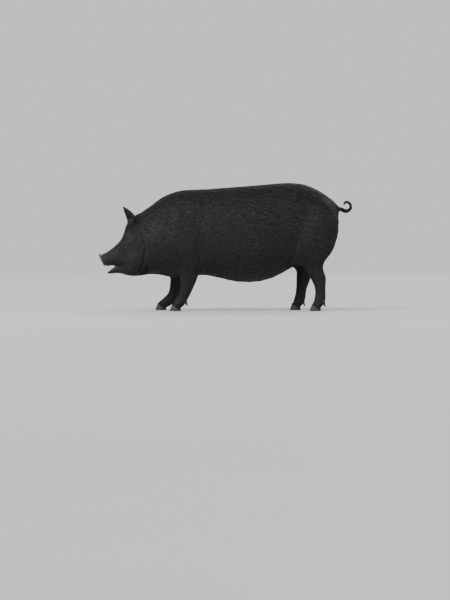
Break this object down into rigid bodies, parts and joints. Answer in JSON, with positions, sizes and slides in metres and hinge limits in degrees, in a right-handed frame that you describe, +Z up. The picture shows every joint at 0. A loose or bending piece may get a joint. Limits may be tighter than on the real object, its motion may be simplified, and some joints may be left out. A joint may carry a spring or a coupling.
{
  "type": "domestic pig",
  "caption": "Life-size adult pig standing in mid-stride, with pricked ears, dished face, flat nose disc, slightly open mouth, long deep body, curled tail and cloven feet.",
  "frame": {"origin": "on the floor below the middle of the bounding box, at the level of the soles of the main claws", "axes": "+X from the nose towards the tail, +Y towards the animal's right side, +Z up"},
  "size_m": [1.5847, 0.449, 0.8],
  "materials": {
    "skin": "matt slate-black skin under a short black coat",
    "nose": "bare, slightly moist dark grey skin",
    "horn": "dull dark horn",
    "eye": "wet dark brown eye",
    "tongue": "moist pink-grey flesh"
  },
  "bodies": {
    "root": {"head": "skin", "lower_jaw": "skin", "neck": "skin", "torso": "skin", "left_ear": "skin", "right_ear": "skin", "left_eye": "eye", "right_eye": "eye", "nose_disc": "nose", "tongue": "tongue", "tail_1": "skin", "tail_2": "skin", "tail_3": "skin", "left_foreleg_upper": "skin", "left_foreleg_lower": "skin", "left_foreleg_claw_left": "horn", "left_foreleg_claw_right": "horn", "left_foreleg_dewclaw_left": "horn", "left_foreleg_dewclaw_right": "horn", "right_foreleg_upper": "skin", "right_foreleg_lower": "skin", "right_foreleg_claw_left": "horn", "right_foreleg_claw_right": "horn", "right_foreleg_dewclaw_left": "horn", "right_foreleg_dewclaw_right": "horn", "left_hindleg_upper": "skin", "left_hindleg_lower": "skin", "left_hindleg_claw_left": "horn", "left_hindleg_claw_right": "horn", "left_hindleg_dewclaw_left": "horn", "left_hindleg_dewclaw_right": "horn", "right_hindleg_upper": "skin", "right_hindleg_lower": "skin", "right_hindleg_claw_left": "horn", "right_hindleg_claw_right": "horn", "right_hindleg_dewclaw_left": "horn", "right_hindleg_dewclaw_right": "horn"}
  },
  "joints": []
}
